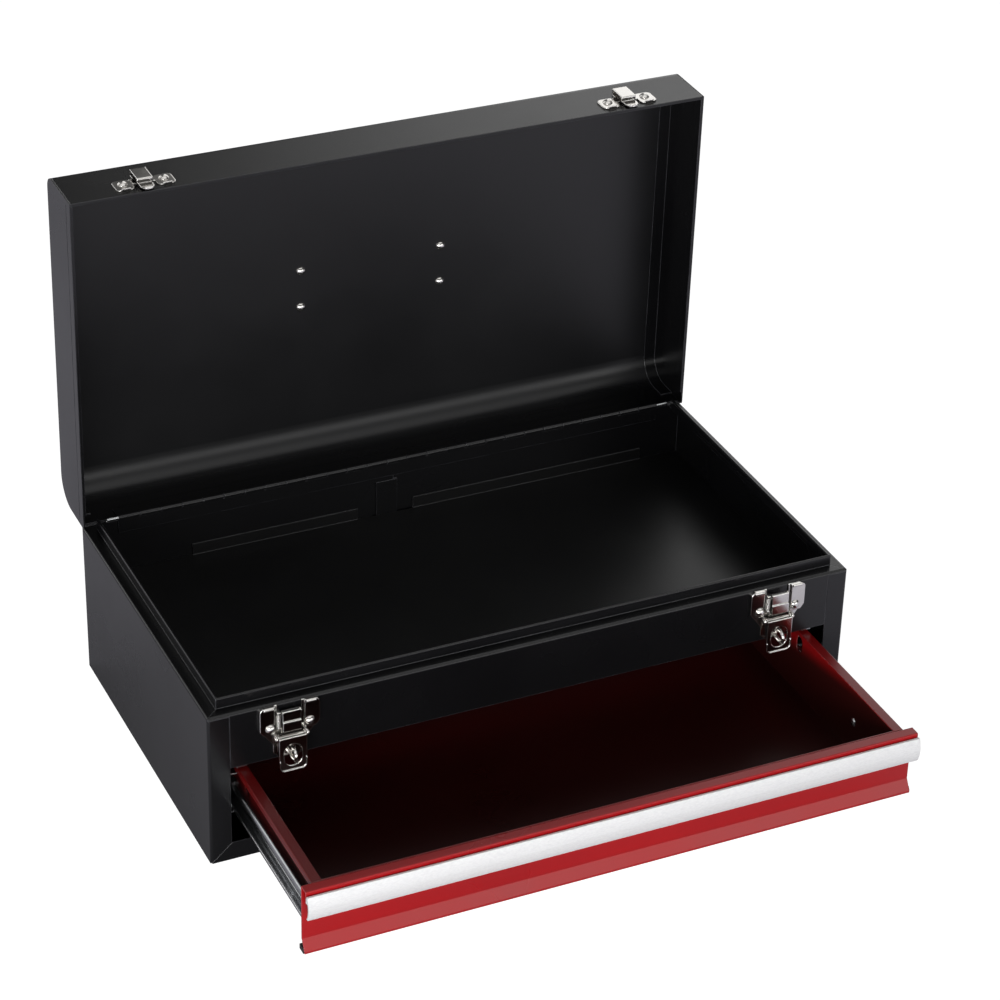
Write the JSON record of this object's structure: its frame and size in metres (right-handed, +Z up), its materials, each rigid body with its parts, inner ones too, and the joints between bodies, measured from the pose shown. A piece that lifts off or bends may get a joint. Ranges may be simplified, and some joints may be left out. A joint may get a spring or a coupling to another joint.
{
  "type": "portable tool box with drawer",
  "caption": "Portable steel tool box with a hinged lid over an open tray, draw latches, a top handle and a full-width drawer on ball slides.",
  "frame": {"origin": "middle of the case's base, on the surface that it stands on", "axes": "+X to the right along the drawer's width, +Y to the back (the hinge side), +Z up"},
  "size_m": [0.52, 0.4903, 0.4147],
  "materials": {
    "black_paint": "semi-gloss black paint",
    "red_paint": "gloss red paint",
    "zinc_steel": "zinc-plated sheet steel",
    "ball_steel": "polished ball steel",
    "black_plastic": "matt black plastic",
    "aluminium_pull": "bright aluminium with a fine raised grain",
    "nickel_steel": "bright nickel-plated steel"
  },
  "bodies": {
    "case": {"shell_left": "black_paint", "shell_right": "black_paint", "front_apron": "black_paint", "bottom_panel": "black_paint", "tray_pan": "black_paint", "slide_bracket_left": "zinc_steel", "slide_bracket_right": "zinc_steel", "guide_clip_left": "zinc_steel", "guide_clip_right": "zinc_steel", "slide_case_left": "zinc_steel", "slide_case_right": "zinc_steel", "hinge_leaf_case": "black_paint", "hinge_pin": "zinc_steel", "latch_plate_left": "nickel_steel", "latch_plate_right": "nickel_steel", "latch_spring_left": "nickel_steel", "latch_spring_right": "nickel_steel", "lever_pin_left": "nickel_steel", "lever_pin_right": "nickel_steel", "padlock_staple_left": "nickel_steel", "padlock_staple_right": "nickel_steel", "latch_rivets": "nickel_steel"},
    "lid": {"lid_shell": "black_paint", "lid_end_left": "black_paint", "lid_end_right": "black_paint", "hinge_leaf_lid": "black_paint", "strike_left": "nickel_steel", "strike_right": "nickel_steel", "strike_rivets": "nickel_steel", "handle_bracket_left": "nickel_steel", "handle_bracket_right": "nickel_steel", "handle_rivets": "nickel_steel"},
    "handle": {"handle_bail": "nickel_steel", "handle_grip": "black_plastic"},
    "lever_left": {"latch_lever_left": "nickel_steel"},
    "lever_right": {"latch_lever_right": "nickel_steel"},
    "claw_left": {"latch_claw_left": "nickel_steel"},
    "claw_right": {"latch_claw_right": "nickel_steel"},
    "drawer": {"drawer_box": "red_paint", "drawer_front": "red_paint", "drawer_pull": "aluminium_pull", "drawer_rivets": "zinc_steel", "drawer_bumpers": "black_plastic", "slide_drawer_left": "zinc_steel", "slide_drawer_right": "zinc_steel"},
    "cage_left": {"ball_cage_left": "zinc_steel", "slide_balls_left": "ball_steel"},
    "cage_right": {"ball_cage_right": "zinc_steel", "slide_balls_right": "ball_steel"}
  },
  "joints": [
    {"name": "lid_hinge", "type": "hinge", "parent": "case", "child": "lid", "pos_m": [0, 0.1375, 0.1308], "axis": [1, 0, 0], "range_deg": [0, 89]},
    {"name": "handle_fold", "type": "hinge", "parent": "lid", "child": "handle", "pos_m": [0, 0.1945, 0.27432], "axis": [1, 0, 0], "range_deg": [0, 178]},
    {"name": "drawer_slide", "type": "slide", "parent": "case", "child": "drawer", "axis": [0, -1, 0], "range_m": [-0.1488, 0.0347]},
    {"name": "lever_left_pivot", "type": "hinge", "parent": "case", "child": "lever_left", "pos_m": [-0.1985, -0.145, 0.101], "axis": [-1, 0, 0], "range_deg": [0, 110]},
    {"name": "claw_left_slide", "type": "slide", "parent": "case", "child": "claw_left", "axis": [0, 0, 1], "range_m": [0, 0.008]},
    {"name": "cage_left_slide", "type": "slide", "parent": "case", "child": "cage_left", "axis": [0, -1, 0], "range_m": [-0.0744, 0.01735]},
    {"name": "lever_right_pivot", "type": "hinge", "parent": "case", "child": "lever_right", "pos_m": [0.1985, -0.145, 0.101], "axis": [-1, 0, 0], "range_deg": [0, 110]},
    {"name": "claw_right_slide", "type": "slide", "parent": "case", "child": "claw_right", "axis": [0, 0, 1], "range_m": [0, 0.008]},
    {"name": "cage_right_slide", "type": "slide", "parent": "case", "child": "cage_right", "axis": [0, -1, 0], "range_m": [-0.0744, 0.01735]}
  ],
  "couplings": [
    {"joint": "claw_left_slide", "follows": "lever_left_pivot", "m_per_rad": 0.004166},
    {"joint": "cage_left_slide", "follows": "drawer_slide", "ratio": 0.5},
    {"joint": "claw_right_slide", "follows": "lever_right_pivot", "m_per_rad": 0.004166},
    {"joint": "cage_right_slide", "follows": "drawer_slide", "ratio": 0.5}
  ]
}
